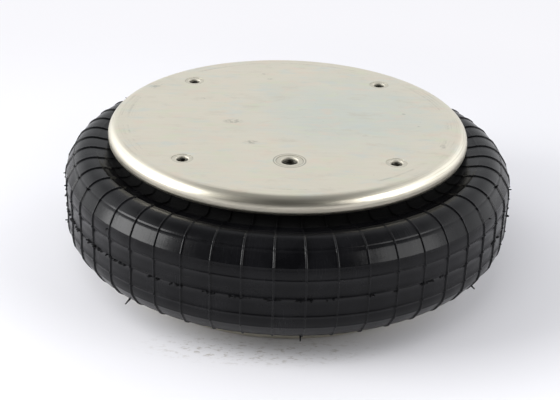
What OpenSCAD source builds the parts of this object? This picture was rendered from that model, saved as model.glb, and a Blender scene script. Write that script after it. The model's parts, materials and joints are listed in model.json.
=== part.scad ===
// Air bellows actuator: one rubber convolution crimped between two round steel bead plates.
// Millimetres. +Z runs along the stroke, and the origin is the centre of the lower mounting face.

/* [Overall] */
// Height between the two mounting faces with no load and no air pressure
rest_h = 118.5; // [110:0.5:140]

/* [Bead plates] */
// Diameter of each bead plate over its rolled rim
plate_d = 286; // [276:1:298]
// Thickness of the plate sheet
sheet = 2.4; // [2:0.1:3]
// Outer radius of the bend where the flat plate turns down into the rim
shoulder_r = 8.25; // [7.5:0.25:10]
// Straight wall of the rim between its two bends
rim_wall = 2.3; // [0.5:0.1:4]
// Outer radius of the bend that folds the rim in under the bead
crimp_r = 3.75; // [3.5:0.25:5]
// Space between the tip of the folded lip and the plies in the neck
lip_gap = 0.7; // [0.4:0.1:1.5]

/* [Blind nuts] */
// Distance from the centre of a nut to the outside of the rim, measured outwards
nut_edge = 30.71; // [28:0.01:44]
// Tapped bore of a nut
nut_bore_d = 8; // [6:0.1:10]
// Full-depth length of the tapped bore, from the mouth of the nut
nut_bore_l = 16; // [10:0.5:20]
// Pilot of a nut, which shows as a ring in the plate
nut_pilot_d = 16; // [14:0.5:18]
// Flange of a nut, under the plate
nut_flange_d = 22; // [20:0.5:25]
// Thickness of that flange
nut_flange_t = 2.5; // [1.5:0.1:4]
// Closed barrel of a nut
nut_barrel_d = 13.5; // [12:0.5:16]
// Metal that closes the end of the barrel, below the drilled point
nut_end_t = 2; // [1:0.1:4]
// Bevel at the mouth of a nut
nut_mouth = 1.2; // [0.6:0.1:2]

/* [Air inlet] */
// Tapped bore of the air inlet, open into the bellows
inlet_bore_d = 11.1; // [8:0.1:14]
// Pilot of the inlet bush, which shows as a ring in the plate
inlet_pilot_d = 20; // [18:0.5:24]
// Flange of the bush, under the plate
inlet_flange_d = 27; // [26:0.5:32]
// Thickness of that flange
inlet_flange_t = 3; // [2:0.1:4]
// Barrel of the bush
inlet_barrel_d = 19; // [17:0.5:22]
// Length of the bush from its mouth to its inner end
inlet_l = 16; // [10:0.5:20]
// Bevel at the mouth of the bush
inlet_mouth = 1.3; // [0.6:0.1:2]

/* [Bellows shape] */
// How far the middle of the convolution stands out past the plates
bulge = 35.5; // [30:0.5:42]
// Depth of the crest of the wall below the mounting face
crest_drop = 19.7; // [18:0.1:24]
// Outer radius of the wall next to the straight band
crown_r = 24.5; // [22:0.5:28]
// Angle through which that radius turns
crown_a = 46; // [40:1:52]
// Outer radius of the wall over the crest
crest_r = 20; // [17:0.5:23]
// Slope of the flank between the crest and the neck
flank_a = 11; // [6:0.5:14]
// Outer radius of the bend from the flank up into the neck
neck_bend_r = 6; // [3:0.25:7]

/* [Bellows wall] */
// Thickness of the outer rubber cover
cover_t = 1.8; // [1.4:0.1:2.2]
// Thickness of each cord ply
ply_t = 0.9; // [0.7:0.05:1.1]
// Thickness of the inner rubber liner
liner_t = 1.8; // [1.4:0.1:2.2]
// Angle below the level at which the turned-over plies end
ply_end_a = 60; // [40:5:80]

/* [Clearances] */
// Space between rubber and the steel that it seals on
seal_gap = 0.1; // [0.05:0.05:0.2]
// Bond line between two layers of the wall
bond = 0.05; // [0.03:0.01:0.1]
// Space round a nut or bush in its plate hole
pilot_gap = 0.1; // [0.05:0.05:0.2]
// Depth of a nut or bush below the mounting face
recess = 0.2; // [0.1:0.05:0.5]
// Space between two turns of bead wire
wire_gap = 0.05; // [0.03:0.01:0.1]

/* [Hidden] */
$fn = 144;
corners = [[-1, -1], [1, -1], [-1, 1], [1, 1]];

// Half angle of the drilled point at the bottom of a blind hole
drill_half_a = 59;
// Degrees of arc between two points of a wall outline
arc_step = 5;
// Turns of wire round the one in the middle of a bead core
outer_wires = 6;

// Rim of a plate
plate_r = plate_d / 2;
rim_h = shoulder_r + rim_wall + crimp_r;
crimp_c = [plate_r - crimp_r, crimp_r - rim_h];
// Side of the square on which the four nuts of a plate sit
bolt_square = sqrt(2) * (plate_r - nut_edge);

// Bead inside the rim, from the mounting face down: two plies wrapped round a core of wire
wrap_r = rim_h / 2 - sheet - seal_gap;
core_r = wrap_r - 2 * (bond + ply_t);
bead_c = [plate_r - shoulder_r, -(sheet + seal_gap + wrap_r)];
wire_pitch = 2 * core_r / 3;
wire_d = wire_pitch - wire_gap;

// Depths of the layers, from the outside of the wall inwards
outer_ply_at = cover_t + bond;
inner_ply_at = outer_ply_at + ply_t + bond;
liner_at = inner_ply_at + ply_t + bond;

// Neck, which runs straight up past the inner side of the bead core
neck_r = bead_c.x - core_r + cover_t;
lip_tip_r = neck_r - cover_t + lip_gap;

// Centres of the wall's bends, with height counted from the middle of the bellows.
// The straight band round the middle takes what the bends leave of the height.
flank_n = 90 + flank_a;
crest_c = [
    plate_r + bulge - crown_r + (crown_r - crest_r) * cos(crown_a),
    rest_h / 2 - crest_drop - crest_r
];
crown_c = crest_c - (crown_r - crest_r) * along(crown_a);
crest_end = crest_c + crest_r * along(flank_n);
neck_x = neck_r + neck_bend_r;
neck_c = [neck_x, crest_end.y + (neck_bend_r - (neck_x - crest_end.x) * cos(flank_n)) / sin(flank_n)];

// Tops of the layers in the neck, counted from the middle too
cover_top = rest_h / 2 - rim_h - seal_gap;
liner_top = rest_h / 2 - sheet - seal_gap;

function nut_name(side, i) = str(side, "_blind_nut_", i + 1);

// Unit vector at an angle
function along(a) = [cos(a), sin(a)];

// Points of an arc, without its first one when it goes on from another arc
function arc(c, r, a0, a1, first = 0) =
    let (n = ceil(abs(a1 - a0) / arc_step))
    [for (i = [first:n]) c + r * along(a0 + (a1 - a0) * i / n)];

// Upper half of the wall at a depth below its outer face, from the straight band to the neck
function half_wall(depth) = concat(
    arc(crown_c, crown_r - depth, 0, crown_a),
    arc(crest_c, crest_r - depth, crown_a, flank_n, 1),
    arc(neck_c, neck_bend_r + depth, flank_n + 180, 180)
);

// The same, with the neck carried straight up to a height
function straight_neck(depth, top) = concat(half_wall(depth), [[neck_r - depth, top]]);

// The same, with the neck turned over the bead core
function turned_neck(depth) = concat(
    half_wall(depth),
    arc([bead_c.x, rest_h / 2 + bead_c.y], core_r - cover_t + depth, 180, -ply_end_a)
);

function reversed(path) = [for (i = [len(path) - 1:-1:0]) path[i]];

function upside_down(path) = [for (p = path) [p.x, -p.y]];

// One layer of the wall, from the upper halves of its outer and inner faces
module wall_layer(outer, inner) {
    translate([0, 0, rest_h / 2])
        rotate_extrude()
            polygon(concat(outer, reversed(inner), upside_down(inner), reversed(upside_down(outer))));
}

// Puts a piece drawn downwards from a mounting face at z = 0 on the upper or the lower plate
module on_top() {
    translate([0, 0, rest_h]) children();
}

module on_bottom() {
    mirror([0, 0, 1]) children();
}

// Quarter ring of sheet in the first quadrant
module bend(r) {
    intersection() {
        difference() {
            circle(r);
            circle(r - sheet);
        }
        square(r);
    }
}

// Half section of a bead plate: flat, shoulder bend, wall, crimp bend and lip
module plate_section() {
    translate([0, -sheet]) square([bead_c.x, sheet]);
    translate([bead_c.x, -shoulder_r]) bend(shoulder_r);
    translate([plate_r - sheet, -shoulder_r - rim_wall]) square([sheet, rim_wall]);
    translate(crimp_c) rotate(-90) bend(crimp_r);
    translate([lip_tip_r, -rim_h]) square([crimp_c.x - lip_tip_r, sheet]);
}

module hole(d) {
    translate([0, 0, -2 * sheet]) cylinder(d = d + 2 * pilot_gap, h = 3 * sheet);
}

module bead_plate() {
    difference() {
        rotate_extrude() plate_section();
        for (corner = corners) translate(corner * bolt_square / 2) hole(nut_pilot_d);
        children();
    }
}

// Steel nut pressed in from below, closed at its inner end
module blind_nut() {
    bore_r = nut_bore_d / 2;
    tip = bore_r / tan(drill_half_a);
    end = recess + nut_bore_l + tip + nut_end_t;
    rotate_extrude()
        polygon([
            [bore_r + nut_mouth, -recess], [nut_pilot_d / 2, -recess], [nut_pilot_d / 2, -sheet],
            [nut_flange_d / 2, -sheet], [nut_flange_d / 2, -sheet - nut_flange_t],
            [nut_barrel_d / 2, -sheet - nut_flange_t], [nut_barrel_d / 2, -end], [0, -end],
            [0, -recess - nut_bore_l - tip], [bore_r, -recess - nut_bore_l], [bore_r, -recess - nut_mouth]
        ]);
}

module place_nut(i) {
    translate(corners[i] * bolt_square / 2) blind_nut();
}

// Midway between the two front nuts
module place_inlet() {
    translate([0, -bolt_square / 2]) children();
}

// Hoop of bead wire: turns packed round a middle one
module bead_core() {
    rotate_extrude() {
        translate(bead_c) circle(d = wire_d);
        for (i = [1:outer_wires])
            translate(bead_c + wire_pitch * along(i * 360 / outer_wires)) circle(d = wire_d);
    }
}

// Rubber strip that fills the rolled rim outside the turned-over plies
module bead_filler() {
    inner_face = arc(bead_c, wrap_r + seal_gap, -ply_end_a, ply_end_a / 2);
    shoulder_face = arc([bead_c.x, -shoulder_r], shoulder_r - sheet - seal_gap, ply_end_a / 2, 0);
    crimp_face = arc(crimp_c, crimp_r - sheet - seal_gap, 0, -90);
    rotate_extrude() polygon(concat(inner_face, shoulder_face, crimp_face));
}

module bottom_bead_plate() {
    color("#c8c5bb") on_bottom() bead_plate();
}

module top_bead_plate() {
    color("#c8c5bb") on_top() bead_plate() place_inlet() hole(inlet_pilot_d);
}

module bottom_blind_nut(i) {
    color("#b4b1a8") on_bottom() place_nut(i);
}

module top_blind_nut(i) {
    color("#b4b1a8") on_top() place_nut(i);
}

// Threaded bush for the air line, open at both ends
module air_inlet() {
    bore_r = inlet_bore_d / 2;
    color("#b4b1a8") on_top() place_inlet() rotate_extrude()
        polygon([
            [bore_r + inlet_mouth, -recess], [inlet_pilot_d / 2, -recess], [inlet_pilot_d / 2, -sheet],
            [inlet_flange_d / 2, -sheet], [inlet_flange_d / 2, -sheet - inlet_flange_t],
            [inlet_barrel_d / 2, -sheet - inlet_flange_t], [inlet_barrel_d / 2, -recess - inlet_l],
            [bore_r, -recess - inlet_l], [bore_r, -recess - inlet_mouth]
        ]);
}

module bottom_bead_core() {
    color("#8d7a50") on_bottom() bead_core();
}

module top_bead_core() {
    color("#8d7a50") on_top() bead_core();
}

module bottom_bead_filler() {
    color("#1d1d1f") on_bottom() bead_filler();
}

module top_bead_filler() {
    color("#1d1d1f") on_top() bead_filler();
}

module outer_cover() {
    color("#2b2c2e") wall_layer(straight_neck(0, cover_top), straight_neck(cover_t, cover_top));
}

module outer_ply() {
    color("#6b6152") wall_layer(turned_neck(outer_ply_at), turned_neck(outer_ply_at + ply_t));
}

module inner_ply() {
    color("#776c5b") wall_layer(turned_neck(inner_ply_at), turned_neck(inner_ply_at + ply_t));
}

module inner_liner() {
    color("#242426")
        wall_layer(straight_neck(liner_at, liner_top), straight_neck(liner_at + liner_t, liner_top));
}

bottom_bead_plate();
bottom_bead_core();
bottom_bead_filler();
inner_liner();
inner_ply();
outer_ply();
outer_cover();
top_bead_plate();
top_bead_core();
top_bead_filler();
air_inlet();
for (i = [0:3]) {
    bottom_blind_nut(i);
    top_blind_nut(i);
}
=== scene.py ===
# %% [markdown]
# # An air bellows actuator
#
# The object is a rubber bellows, shaped like a small tyre, crimped between two round steel plates.
# Air goes in through the threaded hole in the top plate, and the plates move apart.
# The construction comes as a fixed frame with every piece at its real place, in metres.
# This script gives each surface its finish, and models what moulding leaves on the rubber:
# vent ribs, mould lines, flash and whiskers.

# %% Load the frame
import json
import math
import random

import bmesh
import bpy
from mathutils import Matrix, Vector, noise


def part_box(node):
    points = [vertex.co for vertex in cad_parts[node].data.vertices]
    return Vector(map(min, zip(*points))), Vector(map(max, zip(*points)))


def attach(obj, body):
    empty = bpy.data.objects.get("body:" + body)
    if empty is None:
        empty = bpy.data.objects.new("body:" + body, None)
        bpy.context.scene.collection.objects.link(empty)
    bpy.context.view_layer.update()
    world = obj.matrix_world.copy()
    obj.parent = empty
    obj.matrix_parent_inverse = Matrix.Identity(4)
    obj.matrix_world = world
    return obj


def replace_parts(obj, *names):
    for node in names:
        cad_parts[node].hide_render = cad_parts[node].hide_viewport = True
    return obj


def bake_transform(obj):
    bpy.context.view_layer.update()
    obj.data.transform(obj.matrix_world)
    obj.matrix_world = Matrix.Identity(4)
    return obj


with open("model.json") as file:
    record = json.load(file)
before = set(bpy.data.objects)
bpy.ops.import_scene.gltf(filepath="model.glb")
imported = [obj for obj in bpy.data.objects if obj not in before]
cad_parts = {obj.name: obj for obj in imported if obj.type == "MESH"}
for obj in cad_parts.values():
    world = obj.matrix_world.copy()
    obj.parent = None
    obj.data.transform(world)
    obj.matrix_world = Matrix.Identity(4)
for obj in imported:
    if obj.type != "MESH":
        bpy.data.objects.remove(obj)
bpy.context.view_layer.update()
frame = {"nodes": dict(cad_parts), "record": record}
nodes = frame["nodes"]
mm = 0.001

# %% [markdown]
# ## Measures
#
# Sizes that the frame can tell are read from it, so the new pieces can't drift away from the steel.
# The bends of the rubber wall can't be read from a box, so they are named here as real sizes.
# The rest follows from them: how the bead fills the rim, and where the centres of the bends lie.


# %% Measure the plates and name the bends of the wall
def heading(degrees):
    """A unit vector in the XZ plane, from the outward direction towards up."""
    return Vector((math.cos(math.radians(degrees)), math.sin(math.radians(degrees))))


plate_low, plate_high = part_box("top_bead_plate")
height = plate_high.z
middle = height / 2
rim_height = plate_high.z - plate_low.z
plate_radius = round((plate_high.x - plate_low.x) / 2, 4)
sheet, shoulder_radius, seal_gap = 2.4 * mm, 8.25 * mm, 0.1 * mm
cover_wall, ply_wall, liner_wall, bond = 1.8 * mm, 0.9 * mm, 1.8 * mm, 0.05 * mm
bulge, crest_drop = 35.5 * mm, 19.7 * mm
crown_radius, crown_turn = 24.5 * mm, 46
crest_radius, crest_turn = 20 * mm, 55
neck_bend, neck_turn = 6 * mm, 101

bellows_radius = plate_radius + bulge
core_radius = rim_height / 2 - sheet - seal_gap - 2 * (bond + ply_wall)
bead = Vector((plate_radius - shoulder_radius, height - rim_height / 2))
neck_radius = bead.x - core_radius + cover_wall
neck_top = height - rim_height - seal_gap
crest_out = bellows_radius - crown_radius + (crown_radius - crest_radius) * heading(crown_turn).x
crest = Vector((crest_out, height - crest_drop - crest_radius))
crown = crest - (crown_radius - crest_radius) * heading(crown_turn)
flank = heading(crown_turn + crest_turn)
flank_start = crest + crest_radius * flank
neck_x = neck_radius + neck_bend
neck = Vector((neck_x, flank_start.y + (neck_bend - (neck_x - flank_start.x) * flank.x) / flank.y))
print("height", round(height, 4), "bellows radius", round(bellows_radius, 4))
print("plate radius", plate_radius, "neck radius", round(neck_radius, 4))

# %% [markdown]
# ## Camera
#
# The camera stands where the photograph was taken from: low in front of the object, looking down
# by about 27 degrees with a moderate telephoto lens, and tilted by a degree or two.
# Its place is worked out from the top plate, so the plate's ellipse falls where it should.

# %% Make the camera
elevation, roll, swing = math.radians(26.77), math.radians(1.74), math.radians(-1.24)
distance, aside, above = 943.7 * mm, 6.5 * mm, 64.9 * mm
sensor_width, focal_length = 36, 75.8
back = Vector((0, -math.cos(elevation), math.sin(elevation)))
right = Vector((1, 0, 0))
up = back.cross(right)
right_rolled = math.cos(roll) * right + math.sin(roll) * up
up_rolled = math.cos(roll) * up - math.sin(roll) * right
eye = Vector((0, 0, height)) + distance * back - aside * right_rolled - above * up_rolled
camera_data = bpy.data.cameras.new("camera")
camera_data.sensor_width = sensor_width
camera_data.lens = focal_length
camera = bpy.data.objects.new("camera", camera_data)
axes = Matrix((right_rolled, up_rolled, back)).transposed()
camera.matrix_world = Matrix.Rotation(swing, 4, "Z") @ Matrix.Translation(eye) @ axes.to_4x4()
bpy.context.collection.objects.link(camera)
bpy.context.scene.camera = camera
print("camera at", tuple(round(c, 3) for c in camera.matrix_world.translation))

# %% [markdown]
# ## Node helpers
#
# Every finish here is a small tree of shader nodes. A few helpers keep the trees short: one adds a
# node and fills its sockets, and the others stand for one step each, such as a sum or a noise.
# Where a helper is given another node's output it makes a link, and otherwise it sets the socket.


# %% Helpers that add nodes
def fill(tree, socket, value):
    """Links an output to a socket, or sets the socket to a value."""
    if isinstance(value, bpy.types.NodeSocket):
        tree.links.new(value, socket)
    else:
        socket.default_value = value


def add(tree, kind, *values, **named):
    """Adds a node and fills its sockets, in their order or by name."""
    node = tree.nodes.new("ShaderNode" + kind)
    for socket, value in zip(node.inputs, values):
        fill(tree, socket, value)
    for name, value in named.items():
        fill(tree, node.inputs[name.replace("_", " ")], value)
    return node


def calc(tree, operation, *values):
    """One step of arithmetic."""
    node = add(tree, "Math", *values)
    node.operation = operation
    return node.outputs[0]


def vector(tree, operation, *values):
    """One step of vector arithmetic. The result is a vector or a number, as the operation gives."""
    node = add(tree, "VectorMath", *values)
    node.operation = operation
    return node.outputs["Value" if operation in ("LENGTH", "DOT_PRODUCT") else "Vector"]


def scaled(tree, value, gain, base):
    """A value times a gain, plus a base."""
    return calc(tree, "MULTIPLY_ADD", value, gain, base)


def ramp(tree, value, low, high, start=0.0, end=1.0):
    """Maps a value smoothly from one span to another."""
    node = add(tree, "MapRange", value, low, high, start, end)
    node.interpolation_type = "SMOOTHSTEP"
    return node.outputs[0]


def band(tree, value, at, outer, inner, strength=1.0):
    """A soft line where a value comes close to another."""
    off = calc(tree, "ABSOLUTE", calc(tree, "SUBTRACT", value, at))
    return ramp(tree, off, outer, inner, 0, strength)


# %% [markdown]
# The next helpers mix colours and make patterns. A noise gives the clouds and streaks of a finish,
# and a place in polar form lets a pattern run round the object. A finish works on the object's own
# coordinates, in metres, so the sizes in a pattern are real sizes.


# %% Helpers for colours and places
def between(tree, factor, first, second):
    """A number between two numbers."""
    return scaled(tree, calc(tree, "SUBTRACT", second, first), factor, first)


def tint(tree, factor, first, second):
    """A colour between two colours, each an output or three numbers."""
    node = tree.nodes.new("ShaderNodeMix")
    node.data_type = "RGBA"
    factor_socket, first_colour, second_colour = node.inputs[0], node.inputs[6], node.inputs[7]
    for socket, value in ((factor_socket, factor), (first_colour, first), (second_colour, second)):
        fill(tree, socket, (*value, 1) if isinstance(value, tuple) else value)
    return node.outputs[2]


def cloud(tree, where, scale, detail=3.0, rough=0.55):
    """Cloudy noise, mostly between 0.3 and 0.7."""
    return add(tree, "TexNoise", Vector=where, Scale=scale, Detail=detail, Roughness=rough).outputs[0]


def stretch(tree, where, x, y, z):
    """A place with each coordinate multiplied, which stretches a noise or flattens a distance."""
    return vector(tree, "MULTIPLY", where, (x, y, z))


def polar(tree, where):
    """Radius, azimuth and height of a place on the object."""
    x, y, z = add(tree, "SeparateXYZ", where).outputs
    radius = vector(tree, "LENGTH", stretch(tree, where, 1, 1, 0))
    return radius, calc(tree, "ARCTAN2", y, x), z


def start_material(name):
    """A material with its node tree, its main shader, and the place on the object in metres."""
    material = bpy.data.materials.new(name)
    material.use_nodes = True
    tree = material.node_tree
    where = tree.nodes.new("ShaderNodeTexCoord").outputs["Object"]
    return material, tree, tree.nodes["Principled BSDF"], where


def dress(tree, shader, colour, rough, relief, strength, depth):
    """Links a colour, a roughness and a relief to the main shader."""
    tree.links.new(colour, shader.inputs["Base Color"])
    tree.links.new(rough, shader.inputs["Roughness"])
    bump = add(tree, "Bump", Strength=strength, Distance=depth, Height=relief)
    tree.links.new(bump.outputs[0], shader.inputs["Normal"])


# %% [markdown]
# ## Zinc plate
#
# The plates are drawn from steel sheet and zinc plated: pale, a little warm and satin. Rolling has
# left faint streaks along one direction. The plating is cooler in a cloud near the middle, with thin
# films of pink, green and grey, and some stains. A painted picture could hold all this, but nodes
# stay sharp at any distance, and one material serves both plates.


# %% The colour of the sheet
def plating(tree, where, clouds, streaks, stains):
    """The colour of the flat sheet: a cool cloud, thin films, stains, and light and dark streaks."""
    warm, cool, stained = (0.77, 0.72, 0.60), (0.685, 0.70, 0.62), (0.60, 0.54, 0.43)
    light_streak, dark_streak = (0.82, 0.79, 0.69), (0.60, 0.57, 0.48)
    films = ((0.3, (0.80, 0.67, 0.55)), (0.7, (0.72, 0.745, 0.555)), (1.1, (0.65, 0.70, 0.66)))
    cool_centre = (0.045, 0.015, height)
    from_centre = vector(tree, "LENGTH", vector(tree, "SUBTRACT", where, cool_centre))
    coolness = scaled(tree, clouds, 0.9, ramp(tree, from_centre, 0.11, 0.02, -0.35, 0.4))
    colour = tint(tree, ramp(tree, coolness, 0.0, 0.95), warm, cool)
    for offset, film in films:
        shifted = vector(tree, "ADD", where, (offset, offset, 0))
        drift = cloud(tree, stretch(tree, shifted, 0.5, 1, 1), 75, 6, 0.65)
        colour = tint(tree, ramp(tree, drift, 0.5, 0.7, 0, 0.5), colour, film)
    colour = tint(tree, ramp(tree, stains, 0.54, 0.74, 0, 0.35), colour, stained)
    colour = tint(tree, ramp(tree, streaks, 0.5, 0.75, 0, 0.2), colour, light_streak)
    return tint(tree, ramp(tree, streaks, 0.46, 0.25, 0, 0.15), colour, dark_streak)


# %% [markdown]
# Use leaves small spots on the sheet, a few larger marks, and a broken ring where something round
# has stood. Each nut shows a dark line where it is pressed in, and the inlet shows two.
# The places of the marks are listed, and the places of the lines come from the frame.

# %% Wear on the sheet, and lines round the holes
# Each mark: its place in X and Y, and its half size in X and Y, in millimetres.
marks = ((-29, -47, 8, 5), (-44, -7, 10, 6), (94, 15, 2.5, 2), (104, -10, 2, 1.6), (-19, 100, 4, 2),
         (-14, 88, 4, 2), (-112, 65, 6, 3), (118, -48, 3, 5), (60, -30, 3, 2), (-70, 40, 3, 2))
worn_ring, nut_ring, inlet_rings = 127.5 * mm, 7.6 * mm, (10.1 * mm, 12 * mm)
nut_numbers = range(1, 5)


def wear(tree, where, radius, patchy):
    """How dark a place is worn, from 0 to 1."""
    spots = ramp(tree, cloud(tree, where, 420, 2), 0.68, 0.78, 0, 0.5)
    for x, y, half_x, half_y in marks:
        from_mark = vector(tree, "SUBTRACT", where, (x * mm, y * mm, height))
        reach = vector(tree, "LENGTH", stretch(tree, from_mark, 1 / (half_x * mm), 1 / (half_y * mm), 1))
        spots = calc(tree, "MAXIMUM", spots, ramp(tree, reach, 1.0, 0.3))
    ring = band(tree, radius, worn_ring, 1.2 * mm, 0.3 * mm)
    spots = calc(tree, "MAXIMUM", spots, calc(tree, "MULTIPLY", ring, patchy))
    return calc(tree, "MULTIPLY", spots, ramp(tree, cloud(tree, where, 450, 3), 0.38, 0.62, 0.05, 0.55))


def axis_of(node):
    """Where a node's axis stands, from its box."""
    low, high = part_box(node)
    return (low.x + high.x) / 2, (low.y + high.y) / 2


def hole_rings():
    """Centre and radius of each line round a hole, and the height above which it shows."""
    for i in nut_numbers:
        yield *axis_of(f"top_blind_nut_{i}"), nut_ring, 0
    for radius in inlet_rings:
        yield *axis_of("air_inlet"), radius, middle


# %% [markdown]
# Drawing the rim has polished it and left fine lines that run round it, so the rim is a little darker
# and glossier than the flat. A few of the lines reach past it onto the flat. Radius and azimuth come
# from the object's own coordinates, so the lines follow the rim without a map of its surface.


# %% Zinc on the plates
def zinc_plate():
    material, tree, shader, where = start_material("zinc_plate_finish")
    worn, polished = (0.36, 0.34, 0.28), (0.58, 0.55, 0.46)
    drawn_line, pressed_line = (0.40, 0.375, 0.30), (0.30, 0.28, 0.22)
    radius, azimuth, z = polar(tree, where)
    clouds = cloud(tree, where, 24, 3)
    streaks = cloud(tree, stretch(tree, where, 0.1, 1, 1), 300, 4)
    stains = cloud(tree, stretch(tree, where, 0.6, 1.2, 1), 70, 5, 0.65)
    patchy = ramp(tree, cloud(tree, where, 40, 2), 0.45, 0.6, 0, 0.5)
    round_rim = add(tree, "CombineXYZ", radius, calc(tree, "MULTIPLY", azimuth, 0.004), z).outputs[0]
    lines = cloud(tree, round_rim, 650, 4)
    on_rim = ramp(tree, radius, bead.x + 1 * mm, bead.x + 6 * mm)
    near_rim = calc(tree, "MULTIPLY", ramp(tree, radius, bead.x - 20 * mm, bead.x), patchy)

    colour = plating(tree, where, clouds, streaks, stains)
    colour = tint(tree, wear(tree, where, radius, patchy), colour, worn)
    colour = tint(tree, calc(tree, "MULTIPLY", on_rim, 0.8), colour, polished)
    drawn = calc(tree, "MAXIMUM", on_rim, near_rim)
    drawn = calc(tree, "MULTIPLY", drawn, ramp(tree, lines, 0.48, 0.66, 0, 0.55))
    colour = tint(tree, drawn, colour, drawn_line)
    for x, y, ring, lowest in hole_rings():
        from_axis = stretch(tree, vector(tree, "SUBTRACT", where, (x, y, 0)), 1, 1, 0)
        line = band(tree, vector(tree, "LENGTH", from_axis), ring, 0.7 * mm, 0.2 * mm, 0.7)
        line = calc(tree, "MULTIPLY", line, calc(tree, "GREATER_THAN", z, lowest))
        colour = tint(tree, line, colour, pressed_line)

    rough = between(tree, on_rim, scaled(tree, clouds, 0.16, 0.32), scaled(tree, lines, 0.22, 0.26))
    relief = between(tree, on_rim, calc(tree, "ADD", streaks, stains), lines)
    shader.inputs["Metallic"].default_value = 1.0
    dress(tree, shader, colour, rough, relief, 0.12, 0.2 * mm)
    return material


# %% [markdown]
# The nuts and the inlet bush are turned, and plated too. Inside, their colour darkens with depth as
# painted shade, since little light comes into the bores. Threads, torn rubber and wire are plainer:
# their colour, roughness and relief all follow one noise, so one function makes them.


# %% Zinc on turned parts, and plain mottled finishes
def zinc_turned():
    material, tree, shader, where = start_material("zinc_turned_finish")
    dull, bright, painted_bore_shade = (0.60, 0.57, 0.48), (0.72, 0.69, 0.60), (0.12, 0.11, 0.085)
    z = add(tree, "SeparateXYZ", where).outputs[2]
    depth = calc(tree, "MINIMUM", z, calc(tree, "SUBTRACT", height, z))
    clouds = cloud(tree, where, 160)
    # Painted shade: the colour darkens with depth inside the bores.
    inside = ramp(tree, depth, 0.25 * mm, 1.5 * mm, 0, 0.85)
    colour = tint(tree, inside, tint(tree, clouds, dull, bright), painted_bore_shade)
    shader.inputs["Metallic"].default_value = 1.0
    dress(tree, shader, colour, scaled(tree, clouds, 0.2, 0.55), cloud(tree, where, 1800, 2), 0.1, 0.1 * mm)
    return material


def mottled(name, scale, dark, light, gain, base, strength, depth):
    """A finish that follows one noise, and its shader. The gain and the base are its roughness."""
    material, tree, shader, where = start_material(name)
    clouds = cloud(tree, where, scale)
    colour = tint(tree, clouds, dark, light)
    dress(tree, shader, colour, scaled(tree, clouds, gain, base), clouds, strength, depth)
    return material, shader


def cut_thread():
    dark, light = (0.10, 0.095, 0.08), (0.22, 0.21, 0.18)
    material, shader = mottled("cut_thread_finish", 400, dark, light, 0.2, 0.35, 0.1, 0.1 * mm)
    shader.inputs["Metallic"].default_value = 1.0
    return material


def torn_rubber():
    dark, light = (0.002, 0.002, 0.0025), (0.006, 0.006, 0.0065)
    material, shader = mottled("torn_rubber_finish", 500, dark, light, 0.3, 0.5, 0.3, 0.3 * mm)
    shader.inputs["Specular IOR Level"].default_value = 0.1
    return material


def bead_wire():
    dark, light = (0.42, 0.31, 0.16), (0.55, 0.43, 0.26)
    material, shader = mottled("bead_wire_finish", 300, dark, light, 0.2, 0.3, 0.1, 0.05 * mm)
    shader.inputs["Metallic"].default_value = 1.0
    return material


# %% [markdown]
# ## Rubber and cord
#
# The cover is black moulded rubber with a soft gloss. Its skin carries faint flow streaks that run
# up and down the wall and round it, a film of dust, and fine scuffs. In the neck under the rim and
# low on the wall it is dull, and in the neck its colour is darkened further as painted shade.
# The liner is rubber too, a little greyer and without streaks.
# The plies are rubberised cord: fine parallel ridges that cross the wall at a slant.


# %% Rubber and cord finishes
def cover_rubber():
    material, tree, shader, where = start_material("cover_rubber_finish")
    clean, dusty = (0.003, 0.003, 0.0036), (0.0065, 0.0065, 0.0075)
    scuffed, painted_neck_shade = (0.035, 0.034, 0.033), (0.001, 0.001, 0.001)
    radius, azimuth, z = polar(tree, where)
    arc = calc(tree, "MULTIPLY", azimuth, bellows_radius)
    up_wall = add(tree, "CombineXYZ", arc, calc(tree, "MULTIPLY", z, 0.1), 0.0).outputs[0]
    round_wall = add(tree, "CombineXYZ", calc(tree, "MULTIPLY", arc, 0.06), z, 0.0).outputs[0]
    up_streaks, round_streaks = cloud(tree, up_wall, 700), cloud(tree, round_wall, 900)
    dust = cloud(tree, where, 38, 4, 0.6)
    scuffs = ramp(tree, cloud(tree, stretch(tree, where, 1, 1, 6), 120, 5, 0.7), 0.62, 0.8, 0, 0.3)
    in_neck = ramp(tree, radius, neck_x + 7 * mm, neck_x + 1 * mm)
    low_down = ramp(tree, z, middle - 22 * mm, middle - 42 * mm, 0, 0.6)

    colour = tint(tree, ramp(tree, dust, 0.35, 0.75), clean, dusty)
    colour = tint(tree, scuffs, colour, scuffed)
    # Painted shade: the neck under the rim is darkened.
    colour = tint(tree, in_neck, colour, painted_neck_shade)
    rough = scaled(tree, dust, 0.16, scaled(tree, up_streaks, 0.16, 0.08))
    rough = calc(tree, "MAXIMUM", calc(tree, "MAXIMUM", rough, low_down), in_neck)
    relief = calc(tree, "ADD", calc(tree, "ADD", up_streaks, round_streaks), cloud(tree, where, 800))
    shader.inputs["Specular IOR Level"].default_value = 0.15
    dress(tree, shader, colour, rough, relief, 0.12, 0.25 * mm)
    return material


def liner_rubber():
    material, tree, shader, where = start_material("liner_rubber_finish")
    clouds = cloud(tree, where, 90, 4)
    colour = tint(tree, clouds, (0.012, 0.012, 0.013), (0.022, 0.022, 0.023))
    dress(tree, shader, colour, scaled(tree, clouds, 0.2, 0.4), cloud(tree, where, 900, 2), 0.1, 0.1 * mm)
    return material


def cord_fabric():
    material, tree, shader, where = start_material("cord_ply_finish")
    azimuth, z = polar(tree, where)[1:]
    slant = scaled(tree, azimuth, 170.0, calc(tree, "MULTIPLY", z, 900.0))
    ridges = calc(tree, "ABSOLUTE", calc(tree, "SINE", slant))
    colour = tint(tree, ridges, (0.03, 0.026, 0.022), (0.16, 0.125, 0.085))
    dress(tree, shader, colour, scaled(tree, ridges, 0.1, 0.7), ridges, 0.5, 0.3 * mm)
    return material


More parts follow.
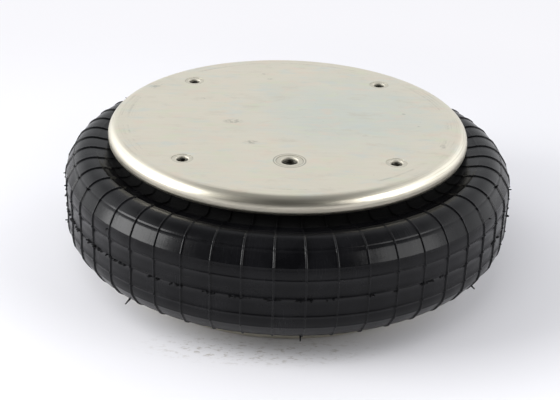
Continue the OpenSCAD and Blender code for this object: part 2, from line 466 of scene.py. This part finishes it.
# %% [markdown]
# ## Dressing the frame
#
# The record of the part gives each node a slot for its material, so one table of finishes dresses
# them all. The meshes themselves stay as they are.

# %% Dress the nodes of the frame
finish = {
    "zinc_plate": zinc_plate(),
    "zinc_nut": zinc_turned(),
    "cover_rubber": cover_rubber(),
    "liner_rubber": liner_rubber(),
    "cord_ply": cord_fabric(),
    "bead_wire": bead_wire(),
}
thread_finish, torn_finish = cut_thread(), torn_rubber()
for row in frame["record"]["subparts"]:
    nodes[row["node"]].data.materials.clear()
    nodes[row["node"]].data.materials.append(finish[row["material_slot"]])
print("finishes:", sorted(finish))

# %% [markdown]
# ## A pen for outlines
#
# The wall of the bellows is a solid of revolution, so it starts as an outline in the XZ plane.
# A pen draws it with mesh operators: a vertex is extruded along a straight stretch, and spun about
# a centre for a bend. Spinning keeps the bends true arcs, however many steps they have.


# %% The pen
class Pen:
    """Draws a chain of edges in the XZ plane of a bmesh. Places are vectors of radius and height."""

    def __init__(self, mesh, place):
        self.mesh = mesh
        self.tip = bmesh.ops.create_vert(mesh, co=(place.x, 0, place.y))["vert"][0]
        self.trail = [self.tip]

    def line(self, place, steps=1):
        begin = self.tip.co.copy()
        for i in range(steps):
            self.tip = bmesh.ops.extrude_vert_indiv(self.mesh, verts=[self.tip])["verts"][0]
            self.tip.co = begin.lerp(Vector((place.x, 0, place.y)), (i + 1) / steps)
            self.trail.append(self.tip)

    def arc(self, centre, degrees, steps):
        before = len(self.mesh.verts)
        turned = bmesh.ops.spin(self.mesh, geom=[self.tip], cent=(centre.x, 0, centre.y),
                                axis=(0, -1, 0), angle=math.radians(degrees), steps=steps)
        self.mesh.verts.ensure_lookup_table()
        self.trail += self.mesh.verts[before:]
        self.tip = turned["geom_last"][0]


# %% [markdown]
# ## The wall as a whole
#
# The wall pieces share a few steps. Each outline is drawn for the upper half, and mirrored.
# Rubber takes a set from the box it was kept in, so the whole wall leans a little to one side and
# is a few millimetres flatter at the back left. The set is nothing at the necks and grows to the
# middle of the wall.

# %% Steps that every wall piece takes
lean = Vector((0.9, -0.6, 0)) * mm
flat_at, flat_depth, flat_sharpness = Vector((-0.82, 0.57, 0)), 3.5 * mm, 6
about_axis = dict(axis=(0, 0, 1), cent=(0, 0, 0))


def mirror_half(mesh):
    """Adds the lower half of an outline and joins the two at the middle."""
    flip = Matrix.Translation((0, 0, height)) @ Matrix.Scale(-1, 4, (0, 0, 1))
    twin = bmesh.ops.duplicate(mesh, geom=mesh.verts[:] + mesh.edges[:])["geom"]
    bmesh.ops.transform(mesh, matrix=flip, verts=[v for v in twin if isinstance(v, bmesh.types.BMVert)])
    bmesh.ops.remove_doubles(mesh, verts=mesh.verts, dist=0.001 * mm)


def settle(mesh):
    """Moves the wall as it has settled: nothing at the necks, most at the middle of the wall."""
    for vertex in mesh.verts:
        share = (vertex.co.z - rim_height) / (height - 2 * rim_height)
        weight = math.sin(math.pi * min(max(share, 0), 1))
        outward = Vector((vertex.co.x, vertex.co.y, 0)).normalized()
        facing = max(0, outward.dot(flat_at))
        vertex.co += weight * (lean - outward * flat_depth * facing ** flat_sharpness)


def finish_piece(mesh, name, material):
    """Turns a bmesh into a smooth-shaded piece with its finish."""
    data = bpy.data.meshes.new(name)
    mesh.to_mesh(data)
    mesh.free()
    data.shade_smooth()
    data.materials.append(material)
    piece = bpy.data.objects.new(name, data)
    bpy.context.collection.objects.link(piece)
    print(name, "faces:", len(data.polygons))
    return piece


def finish_wall(mesh, name, slot, material=None):
    """Settles a wall piece, finishes it, and bakes its transform."""
    settle(mesh)
    piece = finish_piece(mesh, name, material or finish[slot])
    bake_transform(piece)
    return piece


# %% [markdown]
# ## The layers inside the wall
#
# Behind the cover lie two cord plies, turned over the wire hoop in each bead, and an airtight liner.
# They don't show from outside, but each is a closed shell of its own. Its two faces are drawn at
# their depths below the cover's face, and spun.

# %% Model the plies and the liner
turn_over, layer_steps = 240, 120


def draw_half(mesh, depth, top=None):
    """Half of a layer's face, up to a height in the neck, or turned over the bead. Returns its pen."""
    pen = Pen(mesh, Vector((bellows_radius - depth, middle)))
    pen.line(Vector((bellows_radius - depth, crown.y)))
    pen.arc(crown, crown_turn, 8)
    pen.arc(crest, crest_turn, 10)
    pen.line(neck - (neck_bend + depth) * flank)
    pen.arc(neck, -neck_turn, 8)
    pen.line(Vector((neck_radius - depth, top or bead.y)))
    if top is None:
        pen.arc(bead, -turn_over, 20)
    return pen


def wall_layer(name, node, depth, thickness, slot, top=None):
    """A closed shell between two depths below the cover's face, which stands for a node."""
    mesh = bmesh.new()
    mesh.edges.new((draw_half(mesh, depth, top).tip, draw_half(mesh, depth + thickness, top).tip))
    mirror_half(mesh)
    bmesh.ops.spin(mesh, geom=mesh.verts[:] + mesh.edges[:], angle=math.tau, steps=layer_steps,
                   use_merge=True, **about_axis)
    bmesh.ops.remove_doubles(mesh, verts=mesh.verts, dist=0.001 * mm)
    bmesh.ops.recalc_face_normals(mesh, faces=mesh.faces)
    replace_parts(finish_wall(mesh, name, slot), node)


outer_ply_at = cover_wall + bond
inner_ply_at = outer_ply_at + ply_wall + bond
liner_at = inner_ply_at + ply_wall + bond
liner_top = height - sheet - seal_gap
wall_layer("cord_ply_outer", "outer_ply", outer_ply_at, ply_wall, "cord_ply")
wall_layer("cord_ply_inner", "inner_ply", inner_ply_at, ply_wall, "cord_ply")
wall_layer("airtight_liner", "inner_liner", liner_at, liner_wall, "liner_rubber", liner_top)

# %% [markdown]
# ## The cover
#
# The mould that shapes the cover is cut in rings, and has fine channels that let air out. The rings
# leave lines round the wall: a raised one where they meet, and a groove below the crest where one
# ring stands proud of the next. Between the groove and the next line the wall is nearly flat.
# The lines are in the outline itself: one vertex stands out, or in, at each.

# %% Strokes for the mould lines
line_half, ridge, groove = 0.45 * mm, 0.4 * mm, -0.4 * mm
lines = []


def line_across(pen, amount, step):
    """A mould line: a step to its middle, which will stand out by an amount, and a step past it."""
    step(pen)
    lines.append((pen.tip, amount))
    step(pen)


def step_up(pen):
    """A short step up the straight part of the wall."""
    pen.line(Vector((bellows_radius, pen.tip.co.z + line_half)))


def step_round(centre, radius):
    """A stroke that takes a short step round a bend."""
    return lambda pen: pen.arc(centre, math.degrees(line_half / radius), 1)


def arc_to(pen, place, radius, steps):
    """An arc of a given radius, bulging outwards, to a place."""
    begin = Vector((pen.tip.co.x, pen.tip.co.z))
    chord = place - begin
    inward = Vector((-chord.y, chord.x)).normalized()
    centre = (begin + place) / 2 + inward * math.sqrt(radius ** 2 - chord.length_squared / 4)
    pen.arc(centre, 2 * math.degrees(math.asin(chord.length / 2 / radius)), steps)


# %% [markdown]
# The outline runs from the middle of the wall up over the crest into the neck. On the crest, the
# groove takes two short steps and the next line one to its middle, so the bend between them is
# shorter by three. Two layers of the mesh keep which vertices are skin, and which the ribs cross.

# %% Draw the cover's outline with its mould lines
tread_line, crown_line, flat_bend = 14.4 * mm, 17, 60 * mm
outline = bmesh.new()
skin = outline.verts.layers.float.new("skin")
ribbed = outline.verts.layers.float.new("ribbed")
pen = Pen(outline, Vector((bellows_radius, middle)))
lines.append((pen.tip, ridge))
step_up(pen)
pen.line(Vector((bellows_radius, middle + tread_line - line_half)), 3)
line_across(pen, ridge, step_up)
pen.line(Vector((bellows_radius, crown.y)))
pen.arc(crown, crown_line, 5)
line_across(pen, ridge / 3, step_round(crown, crown_radius))
arc_to(pen, crest + crest_radius * heading(crown_turn), flat_bend, 5)
line_across(pen, groove, step_round(crest, crest_radius))
step_size = math.degrees(line_half / crest_radius)
pen.arc(crest, crest_turn - 3 * step_size, 14)
line_across(pen, ridge / 2, step_round(crest, crest_radius))
pen.line(neck - neck_bend * flank, 5)
pen.arc(neck, -neck_turn, 9)
ribbed_part = list(pen.trail)
pen.line(Vector((neck_radius, neck_top)))
print("outline vertices:", len(pen.trail), "mould lines:", len(lines))

# %% [markdown]
# Each line's vertex is moved along the outline's normal, which is square to the way from the vertex
# before it to the one after it. All moves are worked out before the first is made, so that none
# leans on a vertex that has moved. The inner face then closes the section.

# %% Raise the lines and close the section
for vertex in pen.trail:
    vertex[skin] = 1.0
for vertex in ribbed_part:
    vertex[ribbed] = 1.0
moves = []
for vertex, amount in lines:
    place = pen.trail.index(vertex)
    along = pen.trail[place + 1].co - pen.trail[max(place - 1, 0)].co
    moves.append((vertex, Vector((along.z, 0, -along.x)).normalized() * amount))
for vertex, move in moves:
    vertex.co += move
outline.edges.new((pen.tip, draw_half(outline, cover_wall, neck_top).tip))
mirror_half(outline)
print("section:", len(outline.verts), "vertices,", len(outline.edges), "edges")

# %% [markdown]
# The vent channels leave fifty raised ribs, which run up the wall and over the crest into the neck.
# One sector is made first: the outline is spun by a narrow strip, a rib's width, another strip and
# the panel beside it. The strips keep the panel's shading even. The rib is raised with an inset,
# which goes the way that the faces point. Spin lists its faces in a different order each run, so
# which way is out is read from the widest face.

# %% Spin one sector and raise its rib
rib_count, rib_width, rib_height, rib_slope = 50, 1.4 * mm, 0.85 * mm, 0.32 * mm
strip_width, panel_steps = 0.3 * mm, 5
first_rib = math.radians(3.4) - math.pi / 2
rib_angle, strip_angle = rib_width / bellows_radius, strip_width / bellows_radius
sector_angle = math.tau / rib_count
panel_angle = sector_angle - rib_angle - 2 * strip_angle
bmesh.ops.rotate(outline, verts=outline.verts, cent=(0, 0, 0),
                 matrix=Matrix.Rotation(first_rib - rib_angle / 2 - strip_angle, 3, "Z"))
front = outline.verts[:] + outline.edges[:]
rib_faces = []
for angle, steps in ((strip_angle, 1), (rib_angle, 1), (strip_angle, 1), (panel_angle, panel_steps)):
    before = len(outline.faces)
    front = bmesh.ops.spin(outline, geom=front, angle=angle, steps=steps, **about_axis)["geom_last"]
    if angle == rib_angle:
        outline.faces.ensure_lookup_table()
        rib_faces = [f for f in outline.faces[before:] if all(v[ribbed] > 0.5 for v in f.verts)]
bmesh.ops.recalc_face_normals(outline, faces=outline.faces)
widest = max(rib_faces, key=lambda face: face.calc_center_median().xy.length)
if widest.normal.xy.dot(widest.calc_center_median().xy) < 0:
    bmesh.ops.reverse_faces(outline, faces=outline.faces)
bmesh.ops.inset_region(outline, faces=rib_faces, thickness=rib_slope, depth=rib_height,
                       use_even_offset=True)
print("rib faces:", len(rib_faces), "sector faces:", len(outline.faces))

# %% [markdown]
# The sector is then spun round the axis as copies, and the copies are merged where they meet.
# So all fifty ribs are alike, and one inset makes them all.

# %% Spin the sector round
sector = outline.verts[:] + outline.edges[:] + outline.faces[:]
bmesh.ops.spin(outline, geom=sector, angle=math.tau - sector_angle, steps=rib_count - 1,
               use_duplicate=True, **about_axis)
bmesh.ops.remove_doubles(outline, verts=outline.verts, dist=0.002 * mm)
bmesh.ops.recalc_face_normals(outline, faces=outline.faces)
print("ribs:", rib_count, "cover vertices:", len(outline.verts))

# %% [markdown]
# Moulded rubber is never as true as its drawing. The panels between the ribs swell a little, and
# the wall wanders by a tenth of a millimetre. Both are moves of the vertices along their normals,
# taken from the azimuth and from a smooth noise that gives the same result each time.

# %% Swell the panels and finish the cover
panel_swell, wander, wander_scale = 0.12 * mm, 0.15 * mm, 28
outline.normal_update()
for vertex in outline.verts:
    if vertex[skin] > 0.5:
        across = (math.atan2(vertex.co.y, vertex.co.x) - first_rib) % sector_angle / sector_angle
        swell = panel_swell * math.sin(math.pi * across) ** 2
        vertex.co += vertex.normal * (swell + wander * noise.noise(vertex.co * wander_scale))
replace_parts(finish_wall(outline, "ribbed_cover", "cover_rubber"), "outer_cover")

# %% [markdown]
# ## Flash and whiskers
#
# Where the two halves of the mould meet, rubber squeezes out as a thin ragged fin, which is torn off
# and leaves stretches of stubble. A stretch is a flat grid bent round the wall, with a ragged outer
# edge, and thickened. The stretches at the front are where the photograph shows them, and the back
# gets others like them. The reach of each point comes from a seeded generator, the same each run.

# %% Model the flash on the parting line
chance = random.Random(7)
stubble = bmesh.new()
pieces_a_degree, flash_root, flash_thickness, flash_lift = 2.5, 0.6 * mm, 1.1 * mm, 0.6
# Each stretch: where it begins and ends, in degrees from the front towards +X.
front_stretches = ((-85, -81), (-79, -76), (-74, -71), (-69, -66), (-65, -62), (-57, -53), (-52, -48),
                   (-47.5, -45), (-44.5, -41), (-34, -31), (-28, -25), (-20, -17), (-14, -9), (-6, -2),
                   (1, 5), (8, 10), (18, 19), (24, 25), (31, 35), (37, 40), (43, 47), (59, 62),
                   (63, 64), (75, 80))


def add_stubble(begin, end, tall):
    """One stretch of torn flash between two angles, up to a height above the wall."""
    pieces = max(4, int((end - begin) * pieces_a_degree))
    strip = bmesh.ops.create_grid(stubble, x_segments=pieces, y_segments=1, size=0.5)["verts"]
    torn_edge = [(chance.uniform(-0.3, 1.0), chance.uniform(-flash_lift, flash_lift) * mm)
                 for _ in range(pieces + 1)]
    for vertex in strip:
        share = vertex.co.x + 0.5
        angle = math.radians(begin + share * (end - begin)) - math.pi / 2
        torn = vertex.co.y > 0
        reach, rise = torn_edge[round(share * pieces)]
        radius = bellows_radius + (max(0, tall * reach) if torn else -flash_root)
        lift = rise if torn else 0
        vertex.co = Vector((radius * math.cos(angle), radius * math.sin(angle), middle + lift))
    faces = list(dict.fromkeys(face for vertex in strip for face in vertex.link_faces))
    bmesh.ops.solidify(stubble, geom=faces, thickness=flash_thickness)


front_half, front_tall, side_tall = 30, 2.4 * mm, (2.2, 3.0)
back_angles, back_length, back_tall = range(92, 268, 7), (1.5, 5), (0.6, 1.3)
for begin, end in front_stretches:
    at_side = abs(begin) > front_half
    add_stubble(begin, end, chance.uniform(*side_tall) * mm if at_side else front_tall)
for angle in back_angles:
    add_stubble(angle, angle + chance.uniform(*back_length), chance.uniform(*back_tall) * mm)
print("flash vertices:", len(stubble.verts))

# %% [markdown]
# Where a vent of the mould ends, a whisker of rubber stands out. A whisker is a thin cone, laid along
# the wall's normal with a slant of its own. It takes the wall's bends from the outline's measures, so
# its root is in the skin. The front's whiskers are listed one by one, and the back's are placed by chance.

# %% Add the whiskers
back_whiskers, whisker_sides, whisker_root = 12, 6, 0.3 * mm
# Each whisker: degrees from the front, tilt above the middle, length in millimetres, and slant.
front_whiskers = ((-83, 4, 2.5, 0.3), (-79, -4, 3, -0.4), (-76, 3, 2.5, 0.5), (-61, 46, 2.5, -0.3),
                  (-44, -60, 7, -0.42), (3.1, -62, 4.5, 0), (56, -50, 5.5, 0.4), (68, 46, 2.5, 0.3),
                  (57, 17, 2, -0.2), (79, 2, 2.5, 0.4), (-4, 100, 1.5, 0), (-48, 10, 1.5, 0.2))


def add_whisker(degrees, tilt, length, slant):
    """A whisker on the wall, at an angle from the front, and at a tilt above the level of the middle."""
    centre, radius = (crown, crown_radius) if abs(tilt) <= crown_turn else (crest, crest_radius)
    spot = centre + radius * heading(abs(tilt))
    if tilt < 0:
        spot.y = height - spot.y
    base = 0.6 * mm + 0.05 * length
    made = bmesh.ops.create_cone(stubble, cap_ends=True, segments=whisker_sides, radius1=base,
                                 radius2=base / 2, depth=length)["verts"]
    bmesh.ops.translate(stubble, verts=made, vec=(0, 0, length / 2 - whisker_root))
    out = heading(tilt)
    lay = Vector((out.x, slant, out.y)).to_track_quat("Z", "Y").to_matrix().to_4x4()
    turn = Matrix.Rotation(math.radians(degrees) - math.pi / 2, 4, "Z")
    bmesh.ops.transform(stubble, matrix=turn @ Matrix.Translation((spot.x, 0, spot.y)) @ lay, verts=made)


for degrees, tilt, length, slant in front_whiskers:
    add_whisker(degrees, tilt, length * mm, slant)
for _ in range(back_whiskers):
    add_whisker(chance.uniform(95, 265), chance.choice((17, 46, -17, -46)),
                chance.uniform(1.5, 3.5) * mm, chance.uniform(-0.7, 0.7))
bmesh.ops.recalc_face_normals(stubble, faces=stubble.faces)
finish_wall(stubble, "mould_flash", "cover_rubber", torn_finish)

# %% [markdown]
# ## Threads
#
# The nuts and the air inlet are tapped. At this size a thread shows as bright and dark rings inside
# the hole. A thread is a small triangle spun about the hole's axis while it climbs: the spin
# operator takes a step along the axis as well.

# %% Cut the threads
thread_depth, thread_root, thread_start = 0.45 * mm, 0.05 * mm, 1.5 * mm
thread_half, steps_a_turn = 0.42, 28
nut_bore, nut_pitch, nut_turns = 4 * mm, 1.588 * mm, 8
inlet_bore, inlet_pitch, inlet_turns = 5.55 * mm, 1.411 * mm, 9


def thread(name, node, bore, pitch, turns, body):
    """A helical ridge on the wall of a bore, from below its mouth inwards."""
    low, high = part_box(node)
    way, mouth = (-1, high.z) if body == "head" else (1, low.z)
    x, y = axis_of(node)
    start = mouth + way * thread_start
    corners = ((thread_root, -thread_half), (-thread_depth, 0), (thread_root, thread_half))
    mesh = bmesh.new()
    ring = [mesh.verts.new((x + bore + reach, y, start + rise * pitch)) for reach, rise in corners]
    geom = ring + [mesh.edges.new((ring[i], ring[i - 1])) for i in range(3)]
    mesh.faces.new(ring)
    made = bmesh.ops.spin(mesh, geom=geom, cent=(x, y, 0), axis=(0, 0, 1), angle=math.tau * turns,
                          steps=steps_a_turn * turns, dvec=(0, 0, way * pitch / steps_a_turn))
    mesh.faces.new([item for item in made["geom_last"] if isinstance(item, bmesh.types.BMVert)])
    bmesh.ops.recalc_face_normals(mesh, faces=mesh.faces)
    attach(finish_piece(mesh, name, thread_finish), body)


for side, body in (("top", "head"), ("bottom", "base")):
    for i in nut_numbers:
        thread(f"{side}_nut_thread_{i}", f"{side}_blind_nut_{i}", nut_bore, nut_pitch, nut_turns, body)
thread("inlet_thread", "air_inlet", inlet_bore, inlet_pitch, inlet_turns, "head")

# %% [markdown]
# ## Floor
#
# The object stands on a pale seamless floor. In front of it the floor is scuffed, and under the wall
# its colour is darkened as painted shade. Far from the object the floor glows by itself, but only for
# the rays that look at it or mirror it. So the background is nearly white without more light on the
# object, and near the object the floor keeps its shadow.


# %% Make the floor
def floor_finish():
    material, tree, shader, where = start_material("studio_floor")
    pale, scuffed, painted_floor_shade = (0.83, 0.825, 0.855), (0.40, 0.36, 0.32), (0.35, 0.345, 0.35)
    scuffs_at, scuffs_x, scuffs_y, shade_at = (-0.02, -0.15, 0), 0.085, 0.024, (0, -0.03, 0)
    from_scuffs = vector(tree, "SUBTRACT", where, scuffs_at)
    from_scuffs = vector(tree, "LENGTH", stretch(tree, from_scuffs, 1 / scuffs_x, 1 / scuffs_y, 0))
    scratches = cloud(tree, stretch(tree, where, 0.5, 1, 1), 260, 4, 0.7)
    scratches = ramp(tree, scratches, 0.52, 0.66, 0, 0.75)
    scuffs = calc(tree, "MULTIPLY", ramp(tree, from_scuffs, 1.2, 0.4), scratches)
    from_shade = vector(tree, "LENGTH", vector(tree, "SUBTRACT", where, shade_at))
    colour = tint(tree, scuffs, pale, scuffed)
    # Painted shade: the floor's colour darkens under the wall.
    colour = tint(tree, ramp(tree, from_shade, 0.15, 0.107, 0, 0.6), colour, painted_floor_shade)
    tree.links.new(colour, shader.inputs["Base Color"])
    shader.inputs["Roughness"].default_value = 0.7
    shader.inputs["Specular IOR Level"].default_value = 0.2

    glow = add(tree, "Emission", (0.95, 0.945, 0.98, 1), 1.0)
    rays = tree.nodes.new("ShaderNodeLightPath").outputs
    mirrored = calc(tree, "MAXIMUM", rays["Is Glossy Ray"], rays["Is Transmission Ray"])
    seen = calc(tree, "MAXIMUM", rays["Is Camera Ray"], mirrored)
    far = ramp(tree, vector(tree, "LENGTH", where), 0.25, 0.65, 0.0, 0.85)
    mixed = add(tree, "MixShader", calc(tree, "MULTIPLY", seen, far), shader.outputs[0], glow.outputs[0])
    tree.links.new(mixed.outputs[0], tree.nodes["Material Output"].inputs["Surface"])
    return material


floor_half, floor_parts = 5, 8
sweep = bmesh.new()
bmesh.ops.create_grid(sweep, x_segments=floor_parts, y_segments=floor_parts, size=floor_half)
floor_data = bpy.data.meshes.new("floor")
sweep.to_mesh(floor_data)
sweep.free()
floor_data.materials.append(floor_finish())
floor = bpy.data.objects.new("floor", floor_data)
bpy.context.collection.objects.link(floor)
print("floor:", 2 * floor_half, "m wide")

# %% [markdown]
# ## Light
#
# Two window-like boxes light the object, the left one stronger. They show in the gloss of the rubber
# and of the rim. A weak third one fills the floor in front, and nothing mirrors it.


# %% Hang the lamps
def soft_box(name, at, width, tall, watts):
    """A rectangular lamp that faces the object."""
    lamp = bpy.data.lights.new(name, "AREA")
    lamp.shape = "RECTANGLE"
    lamp.size, lamp.size_y, lamp.energy = width, tall, watts
    box = bpy.data.objects.new(name, lamp)
    box.location = at
    box.rotation_mode = "QUATERNION"
    box.rotation_quaternion = (Vector((0, 0, middle)) - Vector(at)).to_track_quat("-Z", "Y")
    bpy.context.collection.objects.link(box)
    return box


soft_box("left_window", (-1.38, -0.28, 0.60), 0.8, 0.75, 20)
soft_box("right_window", (1.14, -0.7, 0.62), 0.8, 0.75, 10)
soft_box("floor_fill", (-0.3, -0.75, 1.45), 0.8, 0.8, 4.5).visible_glossy = False

# %% [markdown]
# The world is the room round the lamps: bright side walls, brightest at the left, and a dark front
# and ceiling. That is why the front of the rubber is nearly black, and why the rim of the plate is
# dark in the middle and bright at both sides. A few ramps over the direction make such a room
# without any walls to model.

# %% Build the room
back_wall, side_wall = (0.88, 0.895, 0.92), (1.8, 1.82, 1.86)
left_wall, unlit = (2.05, 2.08, 2.12), (0.03, 0.03, 0.03)
world = bpy.data.worlds.new("studio_room")
world.use_nodes = True
bpy.context.scene.world = world
room = world.node_tree
direction = room.nodes.new("ShaderNodeTexCoord").outputs["Generated"]
to_front = vector(room, "DOT_PRODUCT", direction, (0.1, -0.92, 0.38))
to_side = calc(room, "ABSOLUTE", vector(room, "DOT_PRODUCT", direction, (1, 0, 0)))
to_left = vector(room, "DOT_PRODUCT", direction, (-1, 0, 0))
upward = add(room, "SeparateXYZ", direction).outputs[2]
walls = tint(room, ramp(room, to_side, 0.35, 0.8), back_wall, side_wall)
walls = tint(room, ramp(room, to_left, 0.4, 0.85), walls, left_wall)
dark = calc(room, "MAXIMUM", ramp(room, to_front, 0.3, 0.7), ramp(room, upward, 0.7, 0.9, 0, 0.75))
room.links.new(tint(room, dark, walls, unlit), room.nodes["Background"].inputs["Color"])
bpy.context.scene.view_settings.view_transform = "Standard"
print("room nodes:", len(room.nodes))
